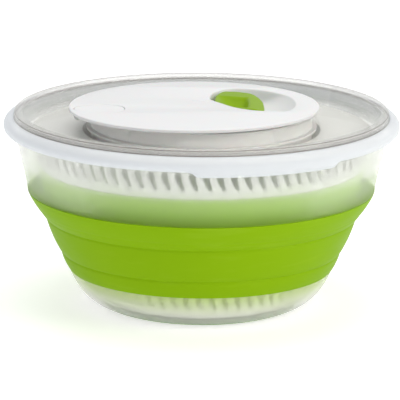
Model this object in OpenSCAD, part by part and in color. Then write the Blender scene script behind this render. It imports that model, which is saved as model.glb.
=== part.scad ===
// Folding pull-cord salad spinner.
// A frosted bowl and a white basket fold down on silicone bands.
// A clear lid carries the pull-cord drive and the brake.
// Millimetres, +Z up, origin on the table under the centre of the bowl.

/* [Bowl] */
// Outer radius over the rolled rim
rim_r = 135; // [134.5:0.1:135.5]
// Height of the top of the rolled rim
rim_z = 130; // [130:0.1:130.4]
// Outer radius of the foot of the bowl
foot_r = 67; // [66:0.5:69]
// Height where the fold band starts
band_z0 = 25; // [25:0.1:25.2]
// Height where the fold band ends
band_z1 = 80; // [79:0.1:80]
// Wall thickness of the moulded bowl
wall = 2.2; // [2:0.1:2.4]
// Horizontal thickness of the silicone bands
band_t = 2.4; // [2:0.1:2.8]
// Angle covered by each grip tab on the rim
grip_span = 44; // [20:1:60]

/* [Basket] */
// Outer radius of the rim of the basket
basket_r = 116.4; // [115.8:0.1:116.6]
// Height of the top of the basket
basket_z = 118.2; // [118:0.1:118.4]
// Height where the basket band ends
basket_band_z1 = 97; // [96:0.5:98]
// Number of slots around the upper ring
upper_slots = 78; // [60:2:84]
// Number of slots around the lower ring
lower_slots = 60; // [40:2:66]
// Wall thickness of the basket
basket_wall = 1.6; // [1.4:0.1:1.8]

/* [Lid] */
// Outer radius of the lid
lid_r = 127.7; // [127.5:0.1:127.8]
// Height of the flat outer ring of the lid
lid_z = 134; // [133.8:0.1:134.2]
// Height of the recessed floor of the lid
lid_floor_z = 126; // [125.8:0.1:126.2]
// Outer radius of the central drum
drum_r = 78.5; // [78:0.1:79]

/* [Top cover] */
// Half of the length of the cover
cover_a = 85.3; // [85:0.1:86]
// Half of the width of the cover
cover_b = 80.2; // [80:0.1:80.6]
// Height of the upper face of the cover
cover_z = 137.5; // [137.4:0.1:137.6]
// Thickness of the cover plate
cover_t = 2.3; // [2.2:0.1:2.4]

/* [Drive] */
// Radius of the drive shaft
shaft_r = 4; // [3.8:0.1:4.2]
// Radial running clearance
running_gap = 0.05; // [0.02:0.01:0.1]
// Radius of the flanges of the cord spool
spool_r = 25; // [24.5:0.1:25.4]
// Diameter of the pull cord
cord_d = 2; // [1.8:0.1:2.2]

/* [Hidden] */
$fn = 96;
eps = 0.01;

// Colours
frosted = [0.88, 0.92, 0.89, 0.6];
clear = [0.8, 0.81, 0.8, 0.4];
white = [0.94, 0.94, 0.95];
silicone = [0.52, 0.68, 0.1];
green = [0.55, 0.73, 0.05];
steel = [0.72, 0.73, 0.75];

// Gap between parts that move against each other
part_gap = 0.3;

// Bowl
base_floor_z = 5.2;
base_under_z = 3;
foot_ring_w = 6;
grip_azimuths = [290, 110];
grip_drop = 3.4;
crease_low = [96, 37.2];
crease_high = [106.5, 61.2];
band_foot = [90.4, band_z0];
band_head = [118.8, band_z1];

// Pivot under the basket
pin_r = 5;
pin_z = 15;
bush_r = 9;
bush_z = [8.6, 15.4];

// Basket
basket_floor_z = 9;
basket_base_z = 28.2;
basket_crease_low = [93, 50];
basket_crease_high = [106, 74];
slot_w = 4.4;
slot_tilt = 20;
lug_count = 4;
lug_w = 6;
lug_gap = 1;

// Drive stack, from the carrier up to the spool
carrier_z = 104;
carrier_t = 2;
carrier_top_z = 119;
carrier_r = 116;
housing_z = 110;
housing_t = 2;
housing_r = 75.3;
housing_wall = 2;
drum_top_z = 133.6;
hub_r = 12;
hub_z = [99, 108];
bush_flange_z = 108.6;
bush_top_z = 114;
spool_z = [116.4, 117.6, 121.8, 123];
winding_r = [19.6, 22.8];
cord_r = cord_d / 2;
cord_z = (spool_z[1] + spool_z[2]) / 2;
screw_circle_r = 66;
screw_r = 1.5;

// Cord route: off the winding, round the guide post, up to the handle
pull_azimuth = -20;
pull_heading = [cos(pull_azimuth), sin(pull_azimuth)];
pull_left = [-sin(pull_azimuth), cos(pull_azimuth)];
handle_entry = [8.5, 20.5];
guide_run = 36;
guide_r = 4;
guide_cord_r = guide_r + cord_r;
guide_pos = handle_entry - guide_run * pull_heading - guide_cord_r * pull_left;
leave_r = 23.9;
guide_turn = acos((leave_r - guide_cord_r) / norm(guide_pos));
leave_angle = atan2(guide_pos[1], guide_pos[0]) + guide_turn;
cord_end_z = 131;
cord_guide_z = 121;
cord_tilt = atan2(guide_run, cord_end_z - cord_guide_z);

// Pull handle and its recess
recess_outline = [
    [22, -7], [33, -15.5], [45, -19], [57, -19], [63, -7], [64.5, 9], [61.5, 27],
    [54, 40], [42, 51], [29, 56.5], [17, 55], [8.5, 43], [5.5, 30], [6, 18], [13, 6]
];
handle_outline = [
    [22.8, -4.5], [32, -12.6], [41.6, -15], [42.3, 7], [40.6, 20.6], [37.5, 31],
    [33, 39.4], [27.4, 45.6], [20, 48.6], [14.6, 48.6], [10.8, 39], [9.4, 30],
    [9.6, 18], [16, 6]
];
recess_z = 128;
recess_foot_x = 1;
recess_wall = 2;
recess_centre = [32, 10];
handle_z = [129, 137.8];
scoop_pos = [23, 14, 147];
scoop_r = 16;
knot_pos = [13.2, 18.8, 132.4];
knot_r = 2.2;

// Brake: a tongue hinged at its outer end, over a plunger
button_tip = [-64.5, -14];
button_tip_r = 12;
button_tail = [-10.5, -1];
button_tail_r = 11.5;
button_gap = 0.5;
button_z = [135.2, 137.3];
plunger_pos = [-60, -14];
plunger_r = 5;
plunger_z = [111, 134.8];
pad_r = 7;
pad_z = 108.1;
hinge_pos = [-84, -15, 133.9];
hinge_pin_r = 1.1;
hinge_reach = 10.6;
tower_z = 122;
tower_r = 8;

// Outlines made of arcs, curves and formulas
function bez(a, b, c, n) = [
    for (i = [0:n]) let (t = i / n)
        (1 - t) * (1 - t) * a + 2 * t * (1 - t) * b + t * t * c
];
function arc(c, r, a0, a1, n) = [
    for (i = [0:n]) let (a = a0 + (a1 - a0) * i / n) c + r * [cos(a), sin(a)]
];
function inward(p, t) = [for (i = [len(p) - 1:-1:0]) [p[i][0] - t, p[i][1]]];
function drop(r1, c2, r2, n) =
    let (
        phi = atan2(c2[1], c2[0]),
        b = acos((r1 - r2) / norm(c2))
    )
    concat(
        arc([0, 0], r1, phi + b, phi + 360 - b, n),
        arc(c2, r2, phi - b, phi + b, round(n / 2))
    );
function egg(a, b, n) = [
    for (i = [0:n - 1])
        let (t = 360 * i / n, x = b - a + a * cos(t), f = (b - x) / (2 * a))
        [x, b * sin(t) - 5 * f * f]
];
function at(p, i) = p[(i + len(p)) % len(p)];
function smooth_loop(p, n) = [
    for (i = [0:len(p) - 1], k = [0:n - 1])
        let (
            t = k / n,
            p0 = at(p, i - 1),
            p1 = at(p, i),
            p2 = at(p, i + 1),
            p3 = at(p, i + 2)
        )
        0.5 * (2 * p1 + (p2 - p0) * t
            + (2 * p0 - 5 * p1 + 4 * p2 - p3) * t * t
            + (3 * p1 - p0 - 3 * p2 + p3) * t * t * t)
];
function about(p, c, k) = [for (q = p) c + k * (q - c)];
function unit(v) = v / norm(v);
function heading(p, i) = unit(p[min(i + 1, len(p) - 1)] - p[max(i - 1, 0)]);
function side(d) = unit(cross(d, [0, 0, 1]));
function helix(r, z0, z1, turns, steps) = [
    for (i = [0:turns * steps])
        let (a = 360 * i / steps, f = i / (turns * steps))
        [r * cos(a), r * sin(a), z0 + (z1 - z0) * f]
];

// Profiles of the fold bands, from the foot to the head
bowl_band_line = concat(
    bez(band_foot, [94.6, 31], crease_low, 4),
    bez(crease_low, [102.6, 47.6], crease_high, 4),
    bez(crease_high, [116, 72.8], band_head, 6)
);
basket_band_line = concat(
    [[84.8, basket_base_z + part_gap], basket_crease_low, basket_crease_high],
    bez(basket_crease_high, [110.2, 85], [111, basket_band_z1], 6)
);

module revolve(points) {
    rotate_extrude() polygon(points);
}

module tube_along(path, r, sides) {
    last = len(path) - 1;
    points = [
        for (i = [0:last], k = [0:sides - 1])
            let (
                d = heading(path, i),
                s = side(d),
                u = cross(s, d),
                a = 360 * k / sides
            )
            path[i] + r * (cos(a) * s + sin(a) * u)
    ];
    skin = [
        for (i = [0:last - 1], k = [0:sides - 1])
            let (j = (k + 1) % sides)
            [i * sides + k, (i + 1) * sides + k, (i + 1) * sides + j, i * sides + j]
    ];
    cap0 = [[for (k = [0:sides - 1]) k]];
    cap1 = [[for (k = [sides - 1:-1:0]) last * sides + k]];
    polyhedron(points, concat(skin, cap0, cap1));
}

module ring(r_in, r_out, z0, z1) {
    revolve([[r_in, z0], [r_out, z0], [r_out, z1], [r_in, z1]]);
}

// ---- Bowl ----

module bowl_base() {
    outer = bez([foot_r, 0.6], [foot_r + 15.5, 5], band_foot, 8);
    ring_in = foot_r - 1 - foot_ring_w;
    ring_out = foot_r - 1;
    color(frosted) difference() {
        union() {
            revolve(concat(
                [[0, base_under_z], [ring_in, base_under_z], [ring_out, base_under_z], [ring_out, 0.6]],
                outer,
                inward(bez([foot_r + 3, base_floor_z], [foot_r + 15.5, 7.6], band_foot, 8), wall),
                [[0, base_floor_z]]
            ));
            cylinder(r = bush_r, h = 7);
        }
        translate([0, 0, -eps]) cylinder(r = ring_in, h = base_under_z + eps);
        translate([0, 0, base_under_z - 1]) cylinder(r = pin_r, h = 20);
    }
}

module bowl_foot_ring() {
    color(silicone) ring(foot_r - 1 - foot_ring_w, foot_r - 1, 0, base_under_z);
}

module pivot_pin() {
    color(white) {
        translate([0, 0, base_under_z]) cylinder(r = pin_r, h = pin_z - base_under_z - 1);
        translate([0, 0, 7]) cylinder(r = 8, h = 1.2);
        translate([0, 0, pin_z - 1]) cylinder(r1 = pin_r, r2 = pin_r - 1, h = 1);
    }
}

module bowl_band() {
    color(silicone) revolve(concat(bowl_band_line, inward(bowl_band_line, band_t)));
}

module grip_tab(azimuth) {
    skirt = [
        [131.4, 121.5], [131.2, 120.6 - grip_drop], [132.2, 120.3 - grip_drop],
        [133, 120.8 - grip_drop], [133.6, 121.5]
    ];
    rotate([0, 0, azimuth - grip_span / 2]) rotate_extrude(angle = grip_span) polygon(skirt);
}

module bowl_upper_ring() {
    roll_r = 5.5;
    roll = [rim_r - roll_r, rim_z - roll_r];
    wall_line = [[118.8, band_z1 + part_gap], [121.3, 93.4], [127.2, 120]];
    color(frosted) union() {
        revolve(concat(
            wall_line,
            [[128.4, 124.4], [130.4, 125.6], [131.6, 124.2], [131.4, 121], [132.4, 120.3]],
            arc(roll, roll_r, -35, 90, 8),
            [[128.4, rim_z], [128.2, rim_z - 0.8], [125, rim_z - 0.8], [125.4, 124]],
            inward(wall_line, wall)
        ));
        for (a = grip_azimuths) grip_tab(a);
    }
}

// ---- Basket ----

module basket_bush() {
    color(white) ring(pin_r + running_gap, bush_r, bush_z[0], bush_z[1]);
}

module floor_slots(count, r0, r1, w) {
    for (i = [0:count - 1])
        rotate([0, 0, i * 360 / count])
            translate([r0, -w / 2, basket_floor_z - 1]) cube([r1 - r0, w, 4]);
}

module wall_slots(count, r, z0, z1) {
    slot_h = (z1 - z0) / cos(slot_tilt);
    for (i = [0:count - 1])
        rotate([0, 0, i * 360 / count])
            translate([r, 0, (z0 + z1) / 2])
                rotate([slot_tilt, 0, 0]) cube([8, slot_w, slot_h], center = true);
}

module basket_base() {
    outer = bez([70, basket_floor_z], [81.5, basket_floor_z + 0.7], [84.8, basket_base_z], 8);
    inner_top = [84.8 - basket_wall, basket_base_z];
    inner = bez([68, basket_floor_z + 1.8], [79.8, basket_floor_z + 2.4], inner_top, 8);
    color(white) difference() {
        union() {
            revolve(concat(
                [[0, basket_floor_z], [70, basket_floor_z]], outer,
                [for (i = [len(inner) - 1:-1:0]) inner[i]],
                [[0, basket_floor_z + 1.8]]
            ));
            translate([0, 0, basket_floor_z]) cylinder(r = 12, h = 8.5);
        }
        translate([0, 0, basket_floor_z - 1]) cylinder(r = bush_r + running_gap, h = 7.6);
        floor_slots(24, 20, 38, 3.4);
        floor_slots(48, 44, 64, 3.4);
        wall_slots(lower_slots, 82, 14.6, 22.6);
    }
}

module basket_band() {
    color(silicone) revolve(concat(basket_band_line, inward(basket_band_line, band_t - 0.6)));
}

module basket_upper_ring() {
    wall_line = [[111.2, basket_band_z1 + part_gap], [114.4, basket_z - 1.6]];
    color(white) difference() {
        revolve(concat(
            wall_line,
            [[basket_r, basket_z - 1.6], [basket_r, basket_z], [114.4 - basket_wall, basket_z]],
            [[111.2 - basket_wall, basket_band_z1 + part_gap]]
        ));
        wall_slots(upper_slots, 113, 103, 114.6);
        for (i = [0:lug_count - 1])
            rotate([0, 0, 45 + i * 360 / lug_count])
                translate([108, -lug_w / 2 - lug_gap, basket_z - 2.6])
                    cube([10, lug_w + 2 * lug_gap, 3]);
    }
}

// ---- Lid ----

module lid_shell() {
    step_r = 122;
    step_t = 1.6;
    edge_t = 2.2;
    drum_in = drum_r - 2.2;
    color(clear) revolve([
        [drum_in, lid_floor_z - 2], [step_r, lid_floor_z - 2],
        [step_r, 118], [step_r + step_t, 118], [step_r + step_t, lid_z - edge_t],
        [lid_r - edge_t, lid_z - edge_t], [lid_r - edge_t, rim_z - 0.5], [lid_r, rim_z - 0.5],
        [lid_r, lid_z - 0.8], [lid_r - 0.8, lid_z], [step_r + 0.5, lid_z],
        [step_r, lid_z - 0.5], [step_r, lid_floor_z], [drum_r, lid_floor_z],
        [drum_r, drum_top_z], [drum_in, drum_top_z]
    ]);
}

module at_screws() {
    for (i = [0:3])
        rotate([0, 0, 45 + 90 * i]) translate([screw_circle_r, 0, 0]) children();
}

module housing_base() {
    inside = housing_r - housing_wall;
    top = housing_z + housing_t;
    flange_z = lid_floor_z - 2;
    color(white) difference() {
        union() {
            revolve([
                [0, housing_z], [housing_r, housing_z], [housing_r, flange_z - 2],
                [drum_r, flange_z - 2], [drum_r, flange_z], [housing_r, flange_z],
                [housing_r, drum_top_z], [inside, drum_top_z], [inside, top], [0, top]
            ]);
            ring(30, 32, top - eps, top + 3.6);
            translate([plunger_pos[0], plunger_pos[1], top - eps])
                cylinder(r = tower_r, h = tower_z - top);
        }
        translate([0, 0, housing_z - 1]) cylinder(r = 7, h = 5);
        translate([plunger_pos[0], plunger_pos[1], housing_z - 1]) cylinder(r = 7.6, h = 2.6);
        translate([plunger_pos[0], plunger_pos[1], housing_z])
            cylinder(r = plunger_r + running_gap, h = 20);
        at_screws() translate([0, 0, housing_z - 1]) cylinder(r = 1.7, h = 4);
    }
}

module recess_cut() {
    outline = smooth_loop(recess_outline, 6);
    intersection() {
        translate([0, 0, recess_z - 1]) linear_extrude(20) polygon(outline);
        translate([recess_foot_x, -60, recess_z])
            rotate([0, -5, 0]) cube([90, 120, 30]);
    }
}

module hinge_hooks() {
    for (side = [-1, 1])
        translate([hinge_pos[0], hinge_pos[1] + side * (hinge_reach - 1), hinge_pos[2] - 0.3])
            cube([4, 2, 3.4], center = true);
}

module hinge_pin(r) {
    translate(hinge_pos) rotate([90, 0, 0]) cylinder(r = r, h = 2 * hinge_reach, center = true);
}

module top_cover() {
    plate_z = cover_z - cover_t;
    tub = about(smooth_loop(recess_outline, 6), recess_centre, 1.07);
    slot = drop(button_tip_r + button_gap, button_tail, button_tail_r + button_gap, 24);
    color(white) difference() {
        union() {
            translate([0, 0, plate_z]) linear_extrude(cover_t)
                polygon(egg(cover_a, cover_b, 128));
            translate([0, 0, recess_z - recess_wall])
                linear_extrude(plate_z - recess_z + recess_wall + 1) polygon(tub);
            at_screws() translate([0, 0, housing_z + housing_t])
                cylinder(r = 4, h = plate_z - housing_z - housing_t + 1);
            ring(70.9, 72.9, plate_z - 4, plate_z + 1);
            translate([-6, 13.6, cover_z - 0.2]) cube([9.4, 1.4, 0.5]);
            hinge_hooks();
        }
        hinge_pin(hinge_pin_r + running_gap);
        recess_cut();
        translate([button_tip[0], button_tip[1], plate_z - 5]) linear_extrude(10) polygon(slot);
        at_screws() translate([0, 0, housing_z + 1]) cylinder(r = screw_r, h = 13);
        translate([handle_entry[0], handle_entry[1], cord_end_z])
            rotate([0, 0, pull_azimuth]) rotate([0, cord_tilt, 0]) translate([0, 0, -12])
                cylinder(r = 2, h = 14);
    }
}

module cover_screws() {
    color(steel) at_screws() {
        translate([0, 0, housing_z - 1.6]) cylinder(r = 3, h = 1.6);
        translate([0, 0, housing_z]) cylinder(r = screw_r, h = 13);
    }
}

module shaft_bush() {
    color(white) {
        ring(shaft_r + running_gap, 7, bush_flange_z, bush_top_z);
        ring(shaft_r + running_gap, 9.5, bush_flange_z, housing_z);
    }
}

module thrust_washer() {
    color(steel) ring(shaft_r + 0.3, 6.8, bush_top_z, bush_top_z + 0.6);
}

module cord_guide() {
    foot = housing_z + housing_t;
    color(white) translate([guide_pos[0], guide_pos[1], 0]) {
        translate([0, 0, foot]) cylinder(r = guide_r, h = 14);
        translate([0, 0, foot]) cylinder(r = guide_r + 1.2, h = 4);
    }
}

module recoil_spring() {
    turns = 5;
    steps = 24;
    r0 = 10.2;
    r1 = 28.6;
    half_t = 0.25;
    function spiral(k) = [
        for (i = [0:turns * steps])
            let (a = 360 * i / steps, r = r0 + (r1 - r0) * i / (turns * steps) + k)
            r * [cos(a), sin(a)]
    ];
    inner = spiral(-half_t);
    color(steel) translate([0, 0, housing_z + housing_t + 0.4]) linear_extrude(3.2)
        polygon(concat(spiral(half_t), [for (i = [len(inner) - 1:-1:0]) inner[i]]));
}

module cord_lead() {
    leave = leave_r * [cos(leave_angle), sin(leave_angle)];
    turn_end = 90 + pull_azimuth;
    turn = arc(guide_pos, guide_cord_r + 0.1, leave_angle, turn_end, 8);
    lift = cord_guide_z - cord_z;
    route = concat(
        [[leave[0], leave[1], cord_z]],
        [for (i = [0:8]) [turn[i][0], turn[i][1], cord_z + lift * i / 8]],
        [[handle_entry[0] + 1.4, handle_entry[1] - 0.5, cord_end_z + 0.4]]
    );
    color(white) tube_along(route, cord_r, 8);
}

// ---- Carrier ----

module carrier_disc() {
    top = carrier_top_z + carrier_t;
    color(frosted) union() {
        revolve([
            [hub_r, carrier_z], [81, carrier_z], [83, carrier_top_z], [carrier_r, carrier_top_z],
            [carrier_r, top], [81.2, top], [79.2, carrier_z + carrier_t],
            [hub_r, carrier_z + carrier_t]
        ]);
        for (i = [0:lug_count - 1])
            rotate([0, 0, 45 + i * 360 / lug_count])
                translate([carrier_r - 3.6, -lug_w / 2, basket_z - 1.6])
                    cube([3.2, lug_w, carrier_top_z - basket_z + 2]);
    }
}

module carrier_hub() {
    color(white) {
        ring(shaft_r, hub_r, hub_z[0], hub_z[1]);
        ring(shaft_r, hub_r + 4, carrier_z - 1.5, carrier_z);
    }
}

module drive_shaft() {
    color(steel) difference() {
        translate([0, 0, hub_z[0]]) cylinder(r = shaft_r, h = 125.4 - hub_z[0]);
        translate([0, 0, hub_z[0] - 1]) cylinder(r = screw_r, h = 10);
    }
}

module hub_screw() {
    color(steel) {
        translate([0, 0, hub_z[0] - 2.2]) cylinder(r = 5.5, h = 2.2);
        translate([0, 0, hub_z[0]]) cylinder(r = screw_r, h = 9);
    }
}

module shaft_clip() {
    z = spool_z[3] + part_gap;
    color(steel) difference() {
        ring(shaft_r, 6.4, z, z + 0.8);
        translate([0, -1.2, z - 1]) cube([10, 2.4, 3]);
    }
}

// ---- Spool ----

module cord_spool() {
    color(white) difference() {
        revolve([
            [0, 115], [9, 115], [9, spool_z[0]], [spool_r, spool_z[0]], [spool_r, spool_z[1]],
            [winding_r[0], spool_z[1]], [winding_r[0], spool_z[2]], [spool_r, spool_z[2]],
            [spool_r, spool_z[3]], [0, spool_z[3]]
        ]);
        translate([0, 0, 114]) cylinder(r = shaft_r + running_gap, h = 10);
        translate([0, 0, 119]) cylinder(r = 6.6, h = 5);
        ring(9, 17, 118.8, 124);
    }
}

module cord_winding() {
    color(white) ring(winding_r[0] + 0.05, winding_r[1], spool_z[1] + part_gap, spool_z[2] - part_gap);
}

module clutch_spring() {
    color(steel) tube_along(helix(4.75, 119.6, 122.3, 3, 16), 0.4, 8);
}

// ---- Pull handle ----

module pull_handle() {
    color(green) difference() {
        translate([0, 0, handle_z[0]]) linear_extrude(handle_z[1] - handle_z[0])
            polygon(smooth_loop(handle_outline, 6));
        translate([8, -60, handle_z[0]]) rotate([0, -6.5, 0]) translate([0, 0, -20])
            cube([60, 120, 20]);
        translate(scoop_pos) sphere(r = scoop_r);
        translate(knot_pos) sphere(r = knot_r + 0.2);
        translate([handle_entry[0], handle_entry[1], cord_end_z])
            rotate([0, 0, pull_azimuth]) rotate([0, cord_tilt, 0]) translate([0, 0, -4])
                cylinder(r = cord_r + 0.3, h = 8);
    }
}

module cord_knot() {
    color(white) translate(knot_pos) sphere(r = knot_r);
}

// ---- Brake ----

module brake_button() {
    color(white) {
        translate([button_tip[0], button_tip[1], button_z[0]])
            linear_extrude(button_z[1] - button_z[0])
                polygon(drop(button_tip_r, button_tail, button_tail_r, 24));
        hinge_pin(hinge_pin_r);
        translate([hinge_pos[0], hinge_pos[1], hinge_pos[2] + 0.8]) cube([1.6, 10, 1.6], center = true);
    }
}

module brake_plunger() {
    dome_h = 1.2;
    color(white) translate([plunger_pos[0], plunger_pos[1], 0]) {
        translate([0, 0, plunger_z[0]]) cylinder(r = plunger_r, h = plunger_z[1] - plunger_z[0] - dome_h);
        translate([0, 0, plunger_z[1] - dome_h]) cylinder(r1 = plunger_r, r2 = 2, h = dome_h);
    }
}

module brake_pad() {
    color(silicone) translate([plunger_pos[0], plunger_pos[1], pad_z])
        cylinder(r = pad_r, h = plunger_z[0] - pad_z);
}

module brake_spring() {
    color(steel) translate([plunger_pos[0], plunger_pos[1], 0])
        tube_along(helix(6.3, tower_z + 0.9, button_z[0] - 1, 5, 16), 0.6, 8);
}

bowl_base();
bowl_foot_ring();
pivot_pin();
bowl_band();
bowl_upper_ring();
basket_bush();
basket_base();
basket_band();
basket_upper_ring();
lid_shell();
housing_base();
top_cover();
cover_screws();
shaft_bush();
thrust_washer();
cord_guide();
recoil_spring();
cord_lead();
carrier_disc();
carrier_hub();
drive_shaft();
hub_screw();
shaft_clip();
cord_spool();
cord_winding();
clutch_spring();
pull_handle();
cord_knot();
brake_button();
brake_plunger();
brake_pad();
brake_spring();
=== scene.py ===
"""Folding pull-cord salad spinner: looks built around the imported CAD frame.

Lengths in the tables of each part are millimetres; MM turns them into Blender's metres.
"""
import math

import bmesh
import bpy
from mathutils import Matrix, Vector
from mathutils.geometry import tessellate_polygon


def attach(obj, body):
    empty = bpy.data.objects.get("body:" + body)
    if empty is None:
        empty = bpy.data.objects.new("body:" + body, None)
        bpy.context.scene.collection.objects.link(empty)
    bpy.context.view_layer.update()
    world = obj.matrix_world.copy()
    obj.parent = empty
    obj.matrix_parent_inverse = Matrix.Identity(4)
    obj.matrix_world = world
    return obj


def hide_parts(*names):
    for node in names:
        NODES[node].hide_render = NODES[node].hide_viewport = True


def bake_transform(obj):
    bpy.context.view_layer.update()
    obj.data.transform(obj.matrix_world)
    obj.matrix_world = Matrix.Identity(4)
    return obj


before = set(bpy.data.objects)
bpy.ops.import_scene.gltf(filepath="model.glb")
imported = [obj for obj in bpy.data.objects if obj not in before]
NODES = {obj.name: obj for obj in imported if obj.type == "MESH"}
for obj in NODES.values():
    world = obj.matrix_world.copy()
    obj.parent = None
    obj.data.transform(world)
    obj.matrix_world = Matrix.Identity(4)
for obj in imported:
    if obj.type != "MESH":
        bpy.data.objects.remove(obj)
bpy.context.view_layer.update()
MM = 0.001

# ---- Camera and room ----
CAMERA_TARGET = (-0.0007, 0.0, 0.0707)
CAMERA_DISTANCE = 2.5
CAMERA_ELEVATION = math.radians(13.47)
CAMERA_ROLL = math.radians(0.43)
CAMERA_LENS = 328.1
FLOOR_SIZE = 14.0

# ---- Mesh fineness ----
LATHE_STEPS = 288
CORNER_STEPS = 5
SHARP_ANGLE = math.radians(32)

# ---- Main sizes, in millimetres ----
BAND_FOOT = (90.4, 25.0)
BAND_HEAD = (118.8, 80.0)
CREASE_LOW = (96.0, 37.2)
CREASE_HIGH = (106.5, 61.2)
BAND_T = 2.4
WALL_T = 2.2
BASKET_FOOT = (84.8, 28.5)
BASKET_LOW = (93.0, 50.0)
BASKET_HIGH = (106.0, 74.0)
BASKET_HEAD = (111.0, 97.0)
RIM_Z = 130.0
GRIP_CENTRES = (290.0, 110.0)
GRIP_HALF = 22.0
GRIP_RAMP = 2.6
GRIP_DROP = 3.4
UPPER_SLOTS = 78
LOWER_SLOTS = 60
COVER_Z = 137.5
COVER_T = 2.3
COVER_A = 85.3
COVER_B = 80.2
RECESS_Z = 128.0
RECESS_CENTRE = (32.0, 10.0)
RECESS_OUTLINE = (
    (22, -7), (33, -15.5), (45, -19), (57, -19), (63, -7), (64.5, 9), (61.5, 27),
    (54, 40), (42, 51), (29, 56.5), (17, 55), (8.5, 43), (5.5, 30), (6, 18), (13, 6),
)
HANDLE_OUTLINE = (
    (22.8, -4.5), (32, -12.6), (41.6, -15), (42.3, 7), (40.6, 20.6), (37.5, 31),
    (33, 39.4), (27.4, 45.6), (20, 48.6), (14.6, 48.6), (10.8, 39), (9.4, 30),
    (9.6, 18), (16, 6),
)
BUTTON_TIP = (-64.5, -14.0)
BUTTON_TIP_R = 12.0
BUTTON_TAIL = (-10.5, -1.0)
BUTTON_TAIL_R = 11.5
CORD_R = 1.0
GUIDE_POST = (-27.04, 28.11)
GUIDE_OUT = (-25.3, 32.9, 121.0)
CORD_IN = (8.5, 20.5, 131.0)
HINGE_POS = (-84.0, -15.0, 133.9)
HINGE_REACH = 10.6
HINGE_PIN_R = 1.1


# ======== Outlines ========

def bezier(a, b, c, n):
    """Points on a quadratic curve from a to c."""
    out = []
    for i in range(n + 1):
        t = i / n
        k = ((1 - t) ** 2, 2 * t * (1 - t), t * t)
        out.append(tuple(k[0] * p + k[1] * q + k[2] * s for p, q, s in zip(a, b, c)))
    return out


def arc(cx, cy, r, a0, a1, n):
    angles = [math.radians(a0 + (a1 - a0) * i / n) for i in range(n + 1)]
    return [(cx + r * math.cos(a), cy + r * math.sin(a)) for a in angles]


def fillet(points, default=0.0):
    """Rounds the corners of a closed outline; a third number on a point is its own radius."""
    out = []
    count = len(points)
    for i, p in enumerate(points):
        radius = p[2] if len(p) > 2 else default
        here = Vector(p[:2])
        back = Vector(points[i - 1][:2]) - here
        on = Vector(points[(i + 1) % count][:2]) - here
        if radius <= 0 or back.length < 1e-6 or on.length < 1e-6:
            out.append(tuple(here))
            continue
        half = back.angle(on) / 2
        if half > math.radians(84):
            out.append(tuple(here))
            continue
        reach = min(radius / math.tan(half), back.length * 0.48, on.length * 0.48)
        a = here + back.normalized() * reach
        b = here + on.normalized() * reach
        out += bezier(tuple(a), tuple(here), tuple(b), CORNER_STEPS)
    return out


def finer(points, step):
    """Splits the long steps of an open line, so that it can bend."""
    out = [points[0]]
    for a, b in zip(points, points[1:]):
        n = max(1, round(math.dist(a, b) / step))
        out += [tuple(p + (q - p) * i / n for p, q in zip(a, b)) for i in range(1, n + 1)]
    return out


def smooth_loop(points, n):
    """A closed Catmull-Rom curve through the points."""
    out = []
    count = len(points)
    for i in range(count):
        p0, p1, p2, p3 = (points[(i + k) % count] for k in (-1, 0, 1, 2))
        for k in range(n):
            t = k / n
            out.append(tuple(
                0.5 * (2 * b + (c - a) * t + (2 * a - 5 * b + 4 * c - d) * t * t
                       + (3 * b - a - 3 * c + d) * t ** 3)
                for a, b, c, d in zip(p0, p1, p2, p3)))
    return out


def drop(r1, c2, r2, n):
    """A round end at the origin and a smaller one at c2, joined by straight sides."""
    phi = math.degrees(math.atan2(c2[1], c2[0]))
    b = math.degrees(math.acos((r1 - r2) / math.hypot(*c2)))
    big = arc(0, 0, r1, phi + b, phi + 360 - b, n)
    small = arc(c2[0], c2[1], r2, phi - b, phi + b, n // 2)
    return finer(big + small + [big[0]], 4.0)[:-1]


def egg(a, b, n):
    """The cover's outline: a long circle whose left end leans to the front."""
    points = []
    for i in range(n):
        t = 2 * math.pi * i / n
        x = b - a + a * math.cos(t)
        points.append((x, b * math.sin(t) - 5 * ((b - x) / (2 * a)) ** 2))
    return points


def moved(points, dx, dy):
    return [(x + dx, y + dy) for x, y in points]


def grown(points, d):
    """The closed outline moved outwards by d; it runs anticlockwise."""
    out = []
    count = len(points)
    for i, p in enumerate(points):
        a, b = Vector(points[i - 1]), Vector(points[(i + 1) % count])
        t = (b - a).normalized()
        out.append((p[0] + d * t.y, p[1] - d * t.x))
    return out


def ease(t):
    t = min(max(t, 0.0), 1.0)
    return t * t * (3 - 2 * t)


def inner_line(points, t):
    return [(r - t, z) for r, z in reversed(points)]


# ======== Meshes ========

def finish_mesh(name, bm, sharp=SHARP_ANGLE):
    bmesh.ops.recalc_face_normals(bm, faces=bm.faces)
    mesh = bpy.data.meshes.new(name)
    bm.to_mesh(mesh)
    bm.free()
    mesh.shade_smooth()
    mesh.set_sharp_from_angle(angle=sharp)
    obj = bpy.data.objects.new(name, mesh)
    bpy.context.scene.collection.objects.link(obj)
    return obj


def stitch(bm, rings, closed_loop):
    """Joins rings of vertices with quads; closed_loop joins the last ring to the first."""
    count = len(rings[0])
    pairs = list(zip(rings, rings[1:]))
    if closed_loop:
        pairs.append((rings[-1], rings[0]))
    for a, b in pairs:
        for i in range(count):
            j = (i + 1) % count
            face = [a[i], a[j], b[j], b[i]]
            bm.faces.new(list(dict.fromkeys(face)))


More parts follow.
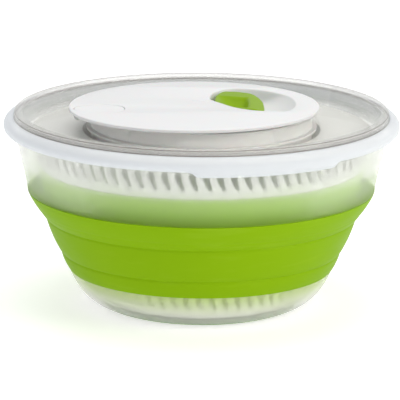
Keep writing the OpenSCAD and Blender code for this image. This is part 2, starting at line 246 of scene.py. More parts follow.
def lathe(name, outline, shape=None, steps=LATHE_STEPS):
    """Turns a closed outline of (r, z) about the Z axis. shape(r, z, degrees) may change a point."""
    bm = bmesh.new()
    rings = []
    for r, z in outline:
        if r < 1e-6:
            v = bm.verts.new((0, 0, z * MM))
            rings.append([v] * steps)
            continue
        ring = []
        for i in range(steps):
            a = 360 * i / steps
            rr, zz = shape(r, z, a) if shape else (r, z)
            c = math.radians(a)
            ring.append(bm.verts.new((rr * MM * math.cos(c), rr * MM * math.sin(c), zz * MM)))
        rings.append(ring)
    pairs = list(zip(rings, rings[1:] + rings[:1]))
    for a, b in pairs:
        for i in range(steps):
            j = (i + 1) % steps
            face = list(dict.fromkeys([a[i], a[j], b[j], b[i]]))
            if len(face) > 2:
                bm.faces.new(face)
    return finish_mesh(name, bm)


def add_loop(bm, points, z):
    """z is a number or a function of x and y."""
    height = z if callable(z) else (lambda x, y: z)
    return [bm.verts.new((x * MM, y * MM, height(x, y) * MM)) for x, y in points]


def fan(bm, ring, centre):
    v = bm.verts.new([c * MM for c in centre])
    count = len(ring)
    for i in range(count):
        bm.faces.new((ring[i], ring[(i + 1) % count], v))


def fill_between(bm, rings):
    """A flat face bounded by the first ring, with the others as holes."""
    verts = [v for ring in rings for v in ring]
    flat = [[Vector((v.co.x, v.co.y, 0)) / MM for v in ring] for ring in rings]
    for triangle in tessellate_polygon(flat):
        bm.faces.new([verts[i] for i in triangle])


def tube(name, path, radius, sides=16):
    """A closed tube with round ends along points in millimetres."""
    points = [Vector(p) for p in path]
    bm = bmesh.new()
    rings = []
    last = len(points) - 1
    for i, p in enumerate(points):
        d = (points[min(i + 1, last)] - points[max(i - 1, 0)]).normalized()
        side = d.cross(Vector((0, 0, 1))).normalized()
        up = side.cross(d)
        rings.append([
            bm.verts.new((p + radius * (math.cos(a) * side + math.sin(a) * up)) * MM)
            for a in (2 * math.pi * k / sides for k in range(sides))])
    stitch(bm, rings, False)
    fan(bm, rings[0], points[0])
    fan(bm, rings[-1], points[-1])
    return finish_mesh(name, bm)


def cut(obj, cutter, solver="EXACT"):
    """Takes the cutter out of the object and deletes the cutter."""
    mod = obj.modifiers.new("cut", "BOOLEAN")
    mod.operation = "DIFFERENCE"
    mod.solver = solver
    mod.object = cutter
    graph = bpy.context.evaluated_depsgraph_get()
    mesh = bpy.data.meshes.new_from_object(obj.evaluated_get(graph))
    obj.modifiers.clear()
    obj.data = mesh
    mesh.shade_smooth()
    mesh.set_sharp_from_angle(angle=SHARP_ANGLE)
    bpy.data.objects.remove(cutter)


def join_all(name, objects):
    bm = bmesh.new()
    for o in objects:
        bm.from_mesh(o.data)
        bpy.data.objects.remove(o)
    return finish_mesh(name, bm)


# ======== Materials ========

class Nodes:
    """Short calls to build a material."""

    def __init__(self, name):
        self.material = bpy.data.materials.new(name)
        self.material.use_nodes = True
        self.tree = self.material.node_tree
        self.tree.nodes.clear()
        self.out = self.add("ShaderNodeOutputMaterial")
        self.place = self.add("ShaderNodeTexCoord").outputs["Object"]

    def add(self, kind, **values):
        node = self.tree.nodes.new(kind)
        for key, value in values.items():
            setattr(node, key, value)
        return node

    def link(self, a, b):
        self.tree.links.new(a, b)

    def noise(self, scale, detail=3.0, place=None):
        n = self.add("ShaderNodeTexNoise")
        n.inputs["Scale"].default_value = scale
        n.inputs["Detail"].default_value = detail
        self.link(place or self.place, n.inputs["Vector"])
        return n.outputs["Fac"]

    def stretched(self, factors):
        m = self.add("ShaderNodeMapping")
        m.inputs["Scale"].default_value = factors
        self.link(self.place, m.inputs["Vector"])
        return m.outputs["Vector"]

    def ranged(self, value, low, high, from_low=0.3, from_high=0.7):
        m = self.add("ShaderNodeMapRange")
        self.link(value, m.inputs["Value"])
        m.inputs["From Min"].default_value = from_low
        m.inputs["From Max"].default_value = from_high
        m.inputs["To Min"].default_value = low
        m.inputs["To Max"].default_value = high
        return m.outputs["Result"]

    def tint(self, fac, a, b):
        m = self.add("ShaderNodeMix", data_type="RGBA")
        self.link(fac, m.inputs["Factor"])
        m.inputs[6].default_value = (*a, 1)
        m.inputs[7].default_value = (*b, 1)
        return m.outputs[2]

    def tint_on(self, fac, a_socket, b):
        m = self.add("ShaderNodeMix", data_type="RGBA")
        self.link(fac, m.inputs["Factor"])
        self.link(a_socket, m.inputs[6])
        m.inputs[7].default_value = (*b, 1)
        return m.outputs[2]

    def bump(self, height, strength, distance):
        b = self.add("ShaderNodeBump")
        b.inputs["Strength"].default_value = strength
        b.inputs["Distance"].default_value = distance
        self.link(height, b.inputs["Height"])
        return b.outputs["Normal"]

    def height_z(self):
        s = self.add("ShaderNodeSeparateXYZ")
        self.link(self.place, s.inputs["Vector"])
        return s.outputs["Z"]

    def principled(self, **values):
        p = self.add("ShaderNodeBsdfPrincipled")
        for key, value in values.items():
            socket = p.inputs[key.replace("_", " ")]
            if isinstance(value, bpy.types.NodeSocket):
                self.link(value, socket)
            else:
                socket.default_value = value
        return p

    def show(self, shader):
        self.link(shader, self.out.inputs["Surface"])
        return self.material


def white_plastic(name, shade, pale):
    m = Nodes(name)
    cloud = m.noise(9.0, 4.0)
    grain = m.noise(900.0, 2.0)
    colour = m.tint(cloud, shade, pale)
    p = m.principled(
        Base_Color=colour, Roughness=m.ranged(grain, 0.3, 0.4),
        Normal=m.bump(grain, 0.06, 0.00015), Specular_IOR_Level=0.45,
        Subsurface_Weight=0.12, Subsurface_Scale=0.002)
    return m.show(p.outputs[0])


def basket_plastic():
    m = Nodes("basket_plastic")
    flow = m.noise(14.0, 3.0)
    grain = m.noise(700.0, 2.0)
    p = m.principled(
        Base_Color=m.tint(flow, (0.88, 0.885, 0.87), (0.93, 0.93, 0.92)),
        Roughness=m.ranged(grain, 0.34, 0.46), Normal=m.bump(grain, 0.05, 0.00015))
    return m.show(p.outputs[0])


def silicone(name, dark, light, dust):
    """Silicone rubber: soft sheen, fine mould grain and faint handling marks."""
    m = Nodes(name)
    cloud = m.noise(6.0, 4.0)
    grain = m.noise(1400.0, 2.0)
    wipe = m.noise(30.0, 5.0, m.stretched((1.0, 1.0, 6.0)))
    colour = m.tint_on(m.ranged(wipe, 0.0, dust, 0.55, 0.8), m.tint(cloud, dark, light), (0.42, 0.6, 0.08))
    p = m.principled(
        Base_Color=colour, Roughness=m.ranged(wipe, 0.42, 0.56), Normal=m.bump(grain, 0.08, 0.0001),
        Specular_IOR_Level=0.05)
    return m.show(p.outputs[0])


def green_plastic():
    m = Nodes("green_plastic")
    cloud = m.noise(20.0, 3.0)
    grain = m.noise(1100.0, 2.0)
    p = m.principled(
        Base_Color=m.tint(cloud, (0.2, 0.37, 0.002), (0.27, 0.43, 0.003)),
        Roughness=m.ranged(grain, 0.3, 0.4), Normal=m.bump(grain, 0.05, 0.0001),
        Specular_IOR_Level=0.08)
    return m.show(p.outputs[0])


def see_through(m, shader, body):
    """Lets light straight through, but for the share that meets the shader."""
    clear = m.add("ShaderNodeBsdfTransparent")
    mix = m.add("ShaderNodeMixShader")
    mix.inputs["Fac"].default_value = body
    m.link(clear.outputs[0], mix.inputs[1])
    m.link(shader.outputs[0], mix.inputs[2])
    return m.show(mix.outputs[0])


def frosted_plastic(name, colour, body, transmission, rough, painted_band_light=None):
    """Frosted polypropylene: rough see-through plastic with a share of milky body.

    The last argument is (z at the green band, z where its tint has faded out, tint): green light from the
    band, painted into the colour and fading with height.
    """
    m = Nodes(name)
    cloud = m.noise(12.0, 4.0)
    grain = m.noise(1000.0, 2.0)
    pale = tuple(min(1.0, c * 1.03) for c in colour)
    tone = m.tint(cloud, colour, pale)
    # Painted green light from the band: a tint that fades with height.
    if painted_band_light:
        near, far, green = painted_band_light
        low, high = min(near, far), max(near, far)
        ends = (1.0, 0.0) if near < far else (0.0, 1.0)
        tone = m.tint_on(m.ranged(m.height_z(), *ends, low * MM, high * MM), tone, green)
    p = m.principled(
        Base_Color=tone, Roughness=m.ranged(cloud, rough, rough + 0.06),
        Normal=m.bump(grain, 0.06, 0.00012), IOR=1.4, Transmission_Weight=transmission)
    return see_through(m, p, body)


def clear_plastic():
    """Clear, slightly smoky polystyrene with faint flow marks."""
    m = Nodes("clear_plastic")
    streak = m.noise(16.0, 3.0)
    p = m.principled(
        Base_Color=m.tint(streak, (0.95, 0.95, 0.935), (0.98, 0.98, 0.97)), IOR=1.5,
        Roughness=m.ranged(streak, 0.02, 0.06), Transmission_Weight=1.0)
    return see_through(m, p, 0.2)


def steel():
    m = Nodes("steel")
    turn = m.noise(60.0, 3.0, m.stretched((1.0, 1.0, 40.0)))
    p = m.principled(
        Base_Color=m.tint(turn, (0.5, 0.51, 0.52), (0.66, 0.67, 0.68)), Metallic=1.0,
        Roughness=m.ranged(turn, 0.22, 0.4))
    return m.show(p.outputs[0])


def cord_fabric():
    """Braided polyester: a diagonal wave pattern along the cord."""
    m = Nodes("cord_fabric")
    wave = m.add("ShaderNodeTexWave", wave_type="BANDS", bands_direction="DIAGONAL")
    wave.inputs["Scale"].default_value = 420.0
    wave.inputs["Distortion"].default_value = 1.5
    m.link(m.place, wave.inputs["Vector"])
    p = m.principled(
        Base_Color=m.tint(wave.outputs["Fac"], (0.62, 0.62, 0.6), (0.84, 0.84, 0.82)), Roughness=0.75,
        Normal=m.bump(wave.outputs["Fac"], 0.5, 0.0003), Sheen_Weight=0.3)
    return m.show(p.outputs[0])


def floor_paint():
    m = Nodes("floor_paint")
    cloud = m.noise(2.0, 2.0)
    p = m.principled(
        Base_Color=m.tint(cloud, (0.79, 0.79, 0.79), (0.81, 0.81, 0.81)), Roughness=0.6,
        Emission_Color=(1.0, 1.0, 1.0, 1.0), Emission_Strength=0.45)
    return m.show(p.outputs[0])


MATERIALS = {
    # The frosted ring and the base carry painted green light from the band, fading away from it.
    "frosted": frosted_plastic(
        "frosted_plastic", (0.96, 0.98, 0.94), 0.4, 0.68, 0.3, (80.3, 102.0, (0.46, 0.72, 0.05))),
    "base": frosted_plastic(
        "frosted_base", (0.97, 0.98, 0.92), 0.5, 0.55, 0.28, (26.0, 8.0, (0.66, 0.86, 0.18))),
    "rim": frosted_plastic("frosted_rim", (0.8, 0.83, 0.87), 0.8, 0.1, 0.4),
    "carrier": frosted_plastic("carrier_plastic", (0.97, 0.98, 0.93), 0.8, 0.05, 0.3),
    "clear": clear_plastic(),
    # The lid's rim and the dark lines on its wall: darker copies of the lid plastic, painted shade.
    "smoky": frosted_plastic("lid_rim_painted_shade", (0.78, 0.775, 0.76), 0.42, 0.62, 0.08),
    "painted_dark_edge": frosted_plastic("painted_dark_edge", (0.26, 0.23, 0.22), 0.7, 0.2, 0.15),
    "white": white_plastic("white_plastic", (0.78, 0.787, 0.805), (0.83, 0.835, 0.845)),
    # A brighter, warmer copy of the white plastic: painted light on the drum wall, which the cover's
    # overhang shades.
    "housing": white_plastic("housing_plastic_painted_light", (0.95, 0.94, 0.92), (0.98, 0.97, 0.95)),
    "basket": basket_plastic(),
    "band": silicone("band_silicone", (0.2, 0.385, 0.001), (0.25, 0.43, 0.002), 0.12),
    "basket_band": silicone("basket_band_silicone", (0.36, 0.62, 0.01), (0.42, 0.67, 0.02), 0.1),
    "foot": silicone("foot_silicone", (0.12, 0.3, 0.02), (0.16, 0.36, 0.03), 0.1),
    "green": green_plastic(),
    "steel": steel(),
    "cord": cord_fabric(),
}


def paint(obj, material):
    obj.data.materials.clear()
    obj.data.materials.append(MATERIALS[material])


def install(obj, material, slot, body, *nodes):
    """Gives a new piece its finish, its body and the CAD nodes that it stands for."""
    paint(obj, material)
    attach(obj, body)
    if nodes:
        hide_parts(*nodes)
    return obj


# ======== Bowl ========

def make_bowl_base():
    outer = bezier((67, 0.6), (82.5, 5), BAND_FOOT, 20)
    inside = bezier((70, 5.2), (82.5, 7.6), BAND_FOOT, 20)
    outline = (
        [(0, 3), (60, 3), (60, 7 - 4), (66, 3), (66, 0.8)] + outer
        + inner_line(inside, WALL_T) + [(0, 5.2)])
    outline = [p for i, p in enumerate(outline) if p != outline[i - 1]]
    obj = lathe("bowl_cup", fillet(outline, 0.3))
    boss = lathe("boss", fillet([(5, 3.2), (9, 3.2), (9, 7), (5, 7)], 0.3), steps=96)
    return install(join_all("bowl_cup", [obj, boss]), "base", "frosted_plastic", "bowl_base", "bowl_base")


def make_foot_ring():
    outline = fillet([(60, 0), (66, 0), (66, 3), (60, 3)], 0.4)
    return install(lathe("foot_ring", outline), "foot", "green_silicone", "bowl_base", "bowl_foot_ring")


def pressed(line, marks):
    """Presses soft grooves, each (height, depth, half width), into a fold line."""
    return [
        (r - sum(depth * math.exp(-((z - at) / half) ** 2) for at, depth, half in marks), z)
        for r, z in line]


def bowl_band_line():
    low = bezier(BAND_FOOT, (94.6, 31), CREASE_LOW, 10)
    middle = bezier(CREASE_LOW, (102.6, 47.6), CREASE_HIGH, 16)
    high = bezier(CREASE_HIGH, (116, 72.8), BAND_HEAD, 16)
    line = finer(low + middle[1:] + high[1:], 0.5)
    return pressed(line, ((CREASE_LOW[1], 0.4, 0.9), (CREASE_HIGH[1], 0.4, 0.9), (66.6, 0.22, 0.8)))


def make_bowl_band():
    line = bowl_band_line()
    obj = lathe("fold_band", line + inner_line(line, BAND_T))
    paint(obj, "band")
    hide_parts("bowl_band")
    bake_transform(obj)
    return obj


def grip(angle):
    """1 on a grip tab, 0 elsewhere, with a slanted step between."""
    near = min(abs((angle - c + 180) % 360 - 180) for c in GRIP_CENTRES)
    return ease((GRIP_HALF + GRIP_RAMP / 2 - near) / GRIP_RAMP)


def rim_shape(r, z, angle):
    """Draws the lower edge of the rim's skirt down at the grip tabs."""
    if r > 130.9 and z < 122.4:
        return r, z - GRIP_DROP * grip(angle)
    return r, z


def make_upper_ring():
    wall = bezier((118.8, 80.3), (120.4, 92), (122.6, 99), 8) + [(127.2, 120)]
    hook = [
        (128.4, 124.4, 1.2), (130.2, 125.6, 0.8), (131.5, 124.4, 0.6), (131.4, 122.2), (131.4, 120.8, 0.3),
        (132.3, 120.3, 0.5), (133.2, 120.8, 0.4), (133.8, 122.0)]
    roll = arc(129.5, 124.5, 5.5, -24, 90, 18)
    seat = [(128.5, RIM_Z, 0.3), (128.3, 129.2, 0.2), (125, 129.2, 0.6), (125.3, 124, 1.5)]
    outline = wall + hook + roll + seat + inner_line(wall, WALL_T)
    obj = lathe("bowl_ring", fillet(outline, 0.25), rim_shape)
    rim = MATERIALS["rim"]
    install(obj, "frosted", "frosted_plastic", "bowl_rim", "bowl_upper_ring")
    obj.data.materials.append(rim)
    for face in obj.data.polygons:
        c = face.center / MM
        if c.z > 116.5 and math.hypot(c.x, c.y) > 127.4:
            face.material_index = 1
    return obj


# ======== Basket ========

def slot_outline(height, top_w, foot_w, lean):
    """A comma: wide at the top, narrow at the foot, leaning and curved."""
    n = 8
    left, right = [], []
    for i in range(n + 1):
        t = i / n
        z = height * (0.5 - t)
        s = lean * (t ** 1.6 - 0.5)
        w = (top_w + (foot_w - top_w) * t) / 2
        left.append((s - w, z))
        right.append((s + w, z))
    foot = arc(left[-1][0] / 2 + right[-1][0] / 2, left[-1][1], foot_w / 2, 180, 360, 6)
    head = arc(left[0][0] / 2 + right[0][0] / 2, left[0][1], top_w / 2, 0, 180, 6)
    return left + foot[1:-1] + right[::-1] + head[1:-1]


def slot_cutters(count, radius, z, outline, depth=9.0):
    bm = bmesh.new()
    for i in range(count):
        a = 2 * math.pi * i / count
        out = Vector((math.cos(a), math.sin(a), 0))
        side = Vector((-math.sin(a), math.cos(a), 0))
        rings = []
        for r in (radius - depth / 2, radius + depth / 2):
            rings.append([
                bm.verts.new((out * r + side * s + Vector((0, 0, z + h))) * MM)
                for s, h in outline])
        stitch(bm, rings, False)
        bm.faces.new(rings[0])
        bm.faces.new(list(reversed(rings[1])))
    return finish_mesh("cutters", bm)


def floor_cutters():
    bm = bmesh.new()
    for count, r0, r1 in ((24, 20, 38), (48, 44, 64)):
        for i in range(count):
            a = 360 * i / count
            stadium = arc(r0, 0, 1.7, 90, 270, 8) + arc(r1, 0, 1.7, -90, 90, 8)
            turn = Matrix.Rotation(math.radians(a), 3, "Z")
            rings = []
            for z in (7, 13):
                rings.append([bm.verts.new(turn @ Vector((x, y, z)) * MM) for x, y in stadium])
            stitch(bm, rings, False)
            bm.faces.new(rings[0])
            bm.faces.new(list(reversed(rings[1])))
    return finish_mesh("cutters", bm)


def make_basket_base():
    outer = bezier((70, 9), (81.5, 9.7), (84.8, 28.2), 20)
    inside = bezier((68, 10.8), (79.8, 11.4), (83.2, 28.2), 20)
    hub = [(0, 15.6), (9.05, 15.6, 0.2), (9.05, 9, 0.3), (12, 9)]
    floor = [(12, 10.8, 0.6), (12, 17.5, 0.8), (0, 17.5)]
    outline = hub + outer + inside[::-1] + floor
    obj = lathe("basket_cup", fillet(outline, 0.2))
    cut(obj, slot_cutters(LOWER_SLOTS, 82, 18.4, slot_outline(6.0, 4.2, 3.0, 2.4)))
    cut(obj, floor_cutters())
    return install(obj, "basket", "white_plastic", "basket_lower", "basket_base")


def basket_band_line():
    low = bezier(BASKET_FOOT, (89.5, 36), BASKET_LOW, 8)
    middle = bezier(BASKET_LOW, (104, 60), BASKET_HIGH, 12)
    high = bezier(BASKET_HIGH, (110.2, 85), BASKET_HEAD, 12)
    line = finer(low + middle[1:] + high[1:], 1.0)
    return pressed(line, ((BASKET_LOW[1], 0.4, 1.2), (BASKET_HIGH[1], 0.4, 1.2)))


def make_basket_band():
    line = basket_band_line()
    obj = lathe("basket_fold_band", line + inner_line(line, 1.8))
    paint(obj, "basket_band")
    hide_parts("basket_band")
    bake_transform(obj)
    return obj


def make_basket_ring():
    outline = [
        (111.2, 97.3), (114.4, 116.6, 0.8), (116.4, 116.6, 0.5), (116.4, 118.2, 0.6),
        (112.8, 118.2, 0.6), (109.6, 97.3)]
    obj = lathe("basket_ring", fillet(outline, 0.3))
    cut(obj, slot_cutters(UPPER_SLOTS, 113, 109.2, slot_outline(8.6, 5.0, 3.0, 2.8)))
    notches = bmesh.new()
    for i in range(4):
        box = bmesh.ops.create_cube(notches, size=1.0)["verts"]
        size = Matrix.Diagonal((10 * MM, 8 * MM, 3.4 * MM, 1))
        place = Matrix.Translation((113.5 * MM, 0, 117.3 * MM))
        turn = Matrix.Rotation(math.radians(45 + 90 * i), 4, "Z")
        bmesh.ops.transform(notches, matrix=turn @ place @ size, verts=box)
    cut(obj, finish_mesh("cutters", notches))
    return install(obj, "basket", "white_plastic", "basket_upper", "basket_upper_ring")


# ======== Lid ========

# Radius from which the lid is painted greyer and less clear, a painted shade, and the two painted dark lines
# on its outer wall
SHADED_RIM_R = 121
EDGE_R = 127.2
EDGE_LOW_Z = 130.6
EDGE_HIGH_Z = 133.3


def make_lid_shell():
    outline = [
        (76.3, 124), (122, 124, 0.8), (122, 118, 0.3), (123.6, 118, 0.5), (123.6, 131.8, 0.8),
        (125.5, 131.8, 0.5), (125.5, 129.5, 0.3), (127.7, 129.5, 0.4), (127.7, EDGE_LOW_Z),
        (127.7, 134, 1.1), (122, 134, 0.7), (122, 126, 1.2), (78.5, 126, 0.8),
        (78.5, 133.6, 0.5), (76.3, 133.6, 0.3)]
    obj = lathe("lid_clear", fillet(outline, 0.2))
    install(obj, "clear", "clear_plastic", "lid", "lid_shell")
    obj.data.materials.append(MATERIALS["smoky"])
    obj.data.materials.append(MATERIALS["painted_dark_edge"])
    for face in obj.data.polygons:
        c = face.center / MM
        r = math.hypot(c.x, c.y)
        # Painted shade: dark faces on the outer wall above and below the clear strip, and a greyer, less
        # clear rim further in.
        if r > EDGE_R and not EDGE_LOW_Z < c.z < EDGE_HIGH_Z:
            face.material_index = 2
        elif r > SHADED_RIM_R:
            face.material_index = 1
    return obj


def make_housing():
    outline = [
        (7, 110), (75.3, 110, 1.2), (75.3, 122), (78.4, 122, 0.4), (78.4, 124, 0.2), (75.3, 124, 0.3),
        (75.3, 133.6, 0.6), (73.3, 133.6, 0.6), (73.3, 112, 1.0), (32, 112, 0.4), (32, 115.6, 0.4),
        (30, 115.6, 0.4), (30, 112, 0.3), (7, 112)]
    obj = lathe("drive_housing", fillet(outline, 0.2))
    x, y = -60.0, -14.0
    sleeve = [(5.05, 111.9), (8, 111.9), (8, 122, 0.5), (5.05, 122, 0.3)]
    tower = lathe("tower", fillet(sleeve, 0.1), steps=48)
    tower.data.transform(Matrix.Translation((x * MM, y * MM, 0)))
    well = lathe("well", [(0, 109), (7.6, 109), (7.6, 112.5), (0, 112.5)], steps=48)
    well.data.transform(Matrix.Translation((x * MM, y * MM, 0)))
    cut(obj, well)
    obj = join_all("drive_housing", [obj, tower])
    # The drum wall gets the brightened white, painted light.
    return install(obj, "housing", "white_plastic", "lid", "housing_base")


STEEP = (
    (0.4, 0.0), (0.0, 0.12), (-0.35, 0.45), (-0.6, 1.2), (-0.8, 3.5), (-1.0, 6.0), (-1.5, 7.8),
    (-2.6, 8.9), (-4.5, 9.4), (-8.0, 9.5))
GENTLE = (
    (0.4, 0.0), (0.0, 0.1), (-0.35, 0.3), (-0.6, 0.55), (-0.8, 0.85), (-1.2, 1.4), (-2.2, 2.6),
    (-4.2, 4.6), (-7.5, 7.0), (-12.0, 9.0))


def recess_rings(bm, outline):
    """Steep walls at the handle, and a bowl that rises gently under the fingertip at the right."""
    rings = []
    for (s_out, s_deep), (g_out, g_deep) in zip(STEEP, GENTLE):
        steep, gentle = grown(outline, s_out), grown(outline, g_out)
        ring = []
        for start, a, b in zip(outline, steep, gentle):
            g = ease((start[0] - 40) / 20)
            px, py = a[0] + (b[0] - a[0]) * g, a[1] + (b[1] - a[1]) * g
            pz = COVER_Z - (s_deep + (g_deep - s_deep) * g)
            ring.append(bm.verts.new((px * MM, py * MM, pz * MM)))
        rings.append(ring)
    last = rings[-1]
    for k in (0.75, 0.5, 0.25):
        cx, cy = RECESS_CENTRE
        rings.append([
            bm.verts.new((
                (cx + (v.co.x / MM - cx) * k) * MM, (cy + (v.co.y / MM - cy) * k) * MM,
                v.co.z * k + (RECESS_Z * MM) * (1 - k)))
            for v in last])
    stitch(bm, rings, False)
    fan(bm, rings[-1], (*RECESS_CENTRE, RECESS_Z))
    return rings[0]


def scaled(outline, centre, k):
    """The outline, made larger or smaller about a point."""
    cx, cy = centre
    return [(cx + (x - cx) * k, cy + (y - cy) * k) for x, y in outline]


def edge_profile(outward, top, bottom, r=0.7):
    """(offset, z) steps of a rounded rim between a top and a bottom face."""
    return [
        (-r * outward, top), (-r * 0.5 * outward, top - 0.12 * r), (-r * 0.12 * outward, top - 0.5 * r),
        (0, top - r), (0, bottom + r * 0.4), (-r * 0.4 * outward, bottom)]


def make_top_cover():
    outer = egg(COVER_A, COVER_B, 256)
    slot = moved(drop(BUTTON_TIP_R + 0.5, BUTTON_TAIL, BUTTON_TAIL_R + 0.5, 32), *BUTTON_TIP)
    recess = smooth_loop(RECESS_OUTLINE, 10)
    under_z = COVER_Z - COVER_T
    bm = bmesh.new()
    rim = [add_loop(bm, grown(outer, d), z) for d, z in edge_profile(1, COVER_Z, under_z)]
    hole = [add_loop(bm, grown(slot, d), z) for d, z in edge_profile(-1, COVER_Z, under_z, 0.35)]
    recess_top = recess_rings(bm, recess)
    tub_line = scaled(recess, RECESS_CENTRE, 1.07)
    tub = [
        add_loop(bm, tub_line, under_z), add_loop(bm, tub_line, 127.0),
        add_loop(bm, grown(tub_line, -1), 126.0)]
    stitch(bm, rim, False)
    stitch(bm, hole, False)
    stitch(bm, tub, False)
    fan(bm, tub[-1], (*RECESS_CENTRE, 126.0))
    fill_between(bm, [rim[0], hole[0], recess_top])
    fill_between(bm, [rim[-1], hole[-1], tub[0]])
    obj = finish_mesh("cover_disc", bm)
    bore = tube("bore", [(-4.7, 25.3, 127.1), (12, 19.2, 132)], 1.9)
    cut(obj, bore)
    parts = [obj, lathe("skirt", fillet([(70.9, 131.2), (72.9, 131.2), (72.9, 135.5), (70.9, 135.5)], 0.3))]
    for i in range(4):
        top = 126.5 if i == 0 else 135.6
        boss = lathe("boss", fillet([(1.5, 112), (4, 112), (4, top), (1.5, top)], 0.2), steps=32)
        a = math.radians(45 + 90 * i)
        boss.data.transform(Matrix.Translation((66 * MM * math.cos(a), 66 * MM * math.sin(a), 0)))
        parts.append(boss)
    for side in (-1, 1):
        hook = lathe("hook", [(1.15, -1), (2.2, -1), (2.2, 1), (1.15, 1)], steps=32)
        hook.data.transform(Matrix.Rotation(math.pi / 2, 4, "X"))
        x, y, z = HINGE_POS
        hook.data.transform(Matrix.Translation((x * MM, (y + 9.6 * side) * MM, z * MM)))
        parts.append(hook)
    parts.append(make_rib())
    return install(join_all("cover_disc", parts), "white", "white_plastic", "lid", "top_cover")


def make_rib():
    """The short raised line over the cord duct, left of the handle."""
    bm = bmesh.new()
    line = drop(0.75, (9.4, 0.1), 0.5, 8)
    line = moved(line, -6.0, 14.3)
    rings = [add_loop(bm, line, 137.2), add_loop(bm, line, 137.62), add_loop(bm, grown(line, -0.25), 137.78)]
    stitch(bm, rings, False)
    fan(bm, rings[0], (-3, 14.3, 137.2))
    fan(bm, rings[-1], (-3, 14.3, 137.78))
    return finish_mesh("rib", bm)


def make_button():
    line = moved(drop(BUTTON_TIP_R, BUTTON_TAIL, BUTTON_TAIL_R, 32), *BUTTON_TIP)
    bm = bmesh.new()
    rings = [add_loop(bm, grown(line, d), z) for d, z in edge_profile(1, 137.3, 135.2, 0.45)]
    stitch(bm, rings, False)
    centre = (BUTTON_TIP[0] - 5, BUTTON_TIP[1])
    dish = [
        add_loop(bm, scaled(line, centre, k), z)
        for k, z in ((0.82, 137.28), (0.6, 137.1), (0.3, 136.95))]
    stitch(bm, [rings[0]] + dish, False)
    fan(bm, dish[-1], (*centre, 136.9))
    fan(bm, rings[-1], (*centre, 135.2))
    x, y, z = HINGE_POS
    pin = tube("pin", [(x, y - HINGE_REACH, z), (x, y + HINGE_REACH, z)], HINGE_PIN_R, 24)
    web = tube("web", [(x, y, z), (x, y, z + 1.6)], 2.2, 24)
    tongue = join_all("brake_tongue", [finish_mesh("brake_tongue", bm), pin, web])
    return install(tongue, "white", "white_plastic", "brake_lever", "brake_button")


# ======== Pull handle and cord ========

def handle_top(x, y):
    """Height of the handle's upper face: a spoon that deepens to the right, then a high lip."""
    middle = 20 - 0.5 * (x - 9)
    across = max(0.0, 1 - ((y - middle) / 16.5) ** 2)
    along = ease((x - 8) / 15) * (1 - ease((x - 28.5) / 4.5))
    lip = 0.6 * ease((x - 28) / 6) * (1 - ease((x - 35) / 6))
    return 136.6 + 0.5 * ease((x - 10) / 20) + lip - 6.4 * along * across ** 0.8


def handle_under(x, y):
    return 129.0 + max(0.0, x - 8) * math.tan(math.radians(6.5))


def make_handle():
    line = smooth_loop(HANDLE_OUTLINE, 10)
    centre = (23.0, 14.0)
    bm = bmesh.new()
    rings = []
    for d, rise in ((-1.2, 0.0), (-0.35, 0.3), (0.0, 1.2)):
        rings.append(add_loop(bm, grown(line, d), lambda x, y: handle_under(x, y) + rise))
    for d, dip in ((0.0, 1.1), (-0.15, 0.5), (-0.5, 0.12), (-1.0, 0.0)):
        rings.append(add_loop(bm, grown(line, d), lambda x, y: handle_top(x, y) - dip))
    inner = grown(line, -1.0)
    steps = 22
    for i in range(1, steps):
        k = 1 - i / steps
        loop = [(centre[0] + (x - centre[0]) * k, centre[1] + (y - centre[1]) * k) for x, y in inner]
        rings.append(add_loop(bm, loop, handle_top))
    stitch(bm, rings, False)
    fan(bm, rings[0], (*centre, handle_under(*centre)))
    fan(bm, rings[-1], (*centre, handle_top(*centre)))
    obj = finish_mesh("handle_scoop", bm, math.radians(60))
    return install(obj, "green", "green_plastic", "handle", "pull_handle")


def make_cord():
    """The cord: off the winding, round the guide post and up into the handle."""
    turn = [(x, y, 119.7 + 1.3 * i / 12) for i, (x, y) in enumerate(arc(*GUIDE_POST, 5.1, 194.9, 70, 12))]
    straight = [tuple(a + (b - a) * i / 40 for a, b in zip(GUIDE_OUT, CORD_IN)) for i in range(1, 41)]
    path = [(-23.1, -6.15, 119.7)] + turn + straight + [(13.0, 18.9, 132.3)]
    obj = tube("pull_cord", path, CORD_R, 12)
    paint(obj, "cord")
    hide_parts("cord_lead")
    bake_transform(obj)
    return obj


def make_winding():
    """Turns of cord side by side on the spool."""
    turns, radius = 3, 0.6
    pitch = 3.6 / turns
    line = []
    for k in range(turns):
        line += arc(22.1, 118.5 + pitch * k, radius, -70, 70, 6)
    outline = [(19.6, 117.9)] + line + [(19.6, 121.5)]
    return install(lathe("cord_turns", outline, steps=96), "cord", "cord", "spool", "cord_winding")


# ======== CAD pieces that keep their own shape ========

KEPT = {
    "white": (
        "pivot_pin", "basket_bush", "shaft_bush", "cord_guide", "carrier_hub", "cord_spool",
        "brake_plunger"),
    "steel": ("cover_screws", "thrust_washer", "recoil_spring", "drive_shaft", "hub_screw", "shaft_clip",
              "clutch_spring", "brake_spring"),
    "carrier": ("carrier_disc",),
    "cord": ("cord_knot",),
    "foot": ("brake_pad",),
}


def dress_kept_nodes():
    for material, names in KEPT.items():
        for name in names:
            obj = NODES[name]
            if not obj.material_slots:
                obj.data.materials.append(None)
            for slot in obj.material_slots:
                slot.material = MATERIALS[material]


# ======== Room, lights and camera ========

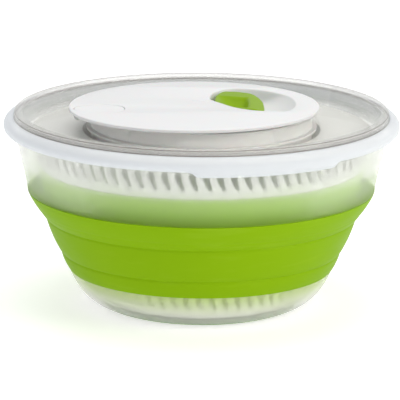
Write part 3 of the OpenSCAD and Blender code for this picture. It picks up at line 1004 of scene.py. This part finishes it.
def make_floor():
    bm = bmesh.new()
    half = FLOOR_SIZE / 2
    corners = [bm.verts.new((x * half, y * half, 0)) for x, y in ((-1, -1), (1, -1), (1, 1), (-1, 1))]
    bm.faces.new(corners)
    floor = finish_mesh("floor", bm)
    floor.data.materials.append(floor_paint())


def aim(obj, target):
    d = Vector(target) - obj.location
    obj.rotation_euler = d.to_track_quat("-Z", "Y").to_euler()


def add_light(name, place, size, power, colour):
    data = bpy.data.lights.new(name, "AREA")
    data.shape = "RECTANGLE"
    data.size, data.size_y = size
    data.energy = power
    data.color = colour
    obj = bpy.data.objects.new(name, data)
    obj.location = place
    bpy.context.scene.collection.objects.link(obj)
    aim(obj, (0, 0, 0.08))


def make_lights():
    world = bpy.data.worlds.new("studio")
    world.use_nodes = True
    background = world.node_tree.nodes["Background"]
    background.inputs["Color"].default_value = (1.0, 1.0, 1.0, 1)
    background.inputs["Strength"].default_value = 0.66
    bpy.context.scene.world = world
    add_light("key", (1.4, -0.9, 1.3), (1.0, 1.0), 13, (1.0, 0.96, 0.86))
    add_light("top", (0.0, 0.3, 2.0), (1.8, 1.4), 14, (1.0, 1.0, 1.0))


def make_camera():
    data = bpy.data.cameras.new("camera")
    data.lens = CAMERA_LENS
    data.sensor_width = 36.0
    data.clip_end = 50.0
    obj = bpy.data.objects.new("camera", data)
    bpy.context.scene.collection.objects.link(obj)
    up, back = math.sin(CAMERA_ELEVATION), math.cos(CAMERA_ELEVATION)
    obj.location = Vector(CAMERA_TARGET) + CAMERA_DISTANCE * Vector((0, -back, up))
    look = (Vector(CAMERA_TARGET) - obj.location).to_track_quat("-Z", "Y").to_matrix()
    obj.rotation_euler = (look @ Matrix.Rotation(CAMERA_ROLL, 3, "Z")).to_euler()
    bpy.context.scene.camera = obj


def main():
    make_camera()
    make_bowl_base()
    make_foot_ring()
    make_bowl_band()
    make_upper_ring()
    make_basket_base()
    make_basket_band()
    make_basket_ring()
    make_lid_shell()
    make_housing()
    make_top_cover()
    make_button()
    make_handle()
    make_cord()
    make_winding()
    dress_kept_nodes()
    make_floor()
    make_lights()
    scene = bpy.context.scene
    scene.view_settings.view_transform = "Standard"


main()
